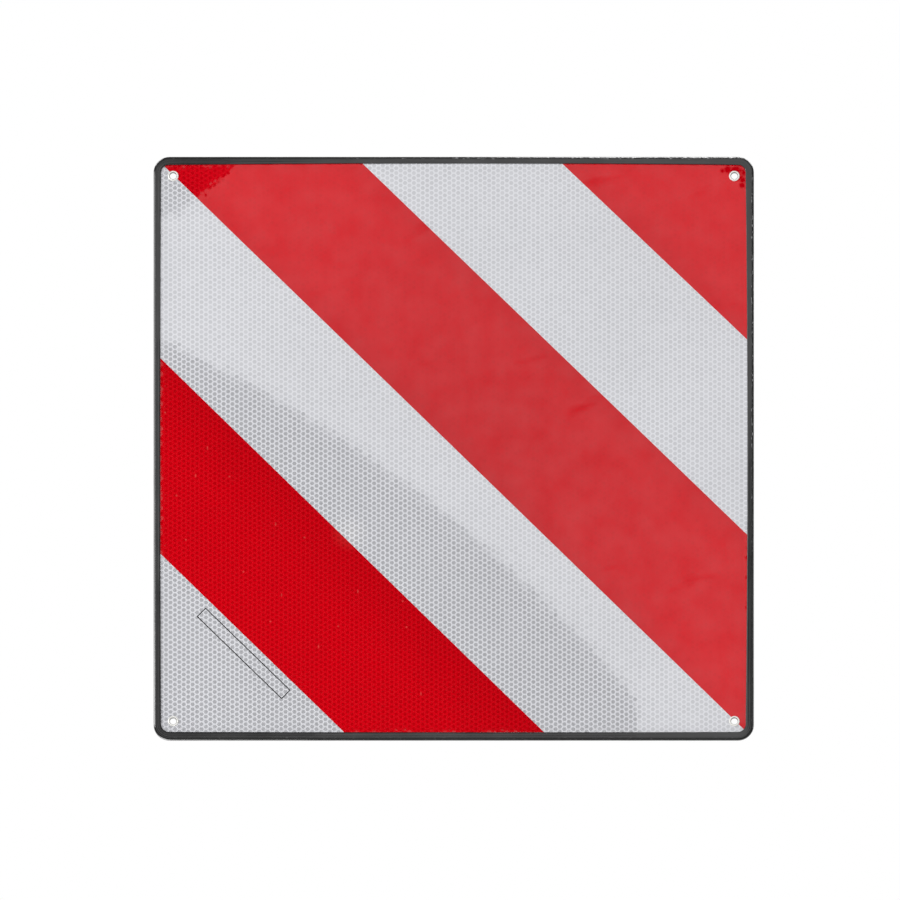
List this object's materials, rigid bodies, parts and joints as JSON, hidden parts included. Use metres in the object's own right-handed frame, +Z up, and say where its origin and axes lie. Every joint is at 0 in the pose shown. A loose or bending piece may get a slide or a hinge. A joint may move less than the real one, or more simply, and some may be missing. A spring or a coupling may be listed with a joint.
{
  "type": "overhanging load warning panel",
  "caption": "Square reflective warning panel with red and white diagonal stripes, a black edge trim and corner eyelets, for hanging on the rear of an overhanging load.",
  "frame": {"origin": "middle of the four eyelet holes, on the back of the backing sheet", "axes": "+X to the right seen from the front, +Y out of the back, +Z up; the striped face looks along -Y"},
  "size_m": [0.503, 0.0056, 0.503],
  "materials": {
    "aluminium_sheet": "bare mill finish",
    "adhesive": "clear pressure-sensitive acrylic",
    "white_sheeting": "glossy retroreflective sheeting with hexagonal cells",
    "red_film": "glossy transparent red overlay film",
    "black_trim": "glossy flexible extruded trim",
    "eyelet_nickel": "bright nickel plate"
  },
  "bodies": {
    "root": {"backing_panel": "aluminium_sheet", "sheeting_adhesive": "adhesive", "reflective_sheeting": "white_sheeting", "red_stripe_corner": "red_film", "red_stripe_middle": "red_film", "red_stripe_lower": "red_film", "edge_trim": "black_trim", "eyelet_top_left": "eyelet_nickel", "eyelet_top_right": "eyelet_nickel", "eyelet_bottom_left": "eyelet_nickel", "eyelet_bottom_right": "eyelet_nickel", "washer_top_left": "eyelet_nickel", "washer_top_right": "eyelet_nickel", "washer_bottom_left": "eyelet_nickel", "washer_bottom_right": "eyelet_nickel"}
  },
  "joints": []
}
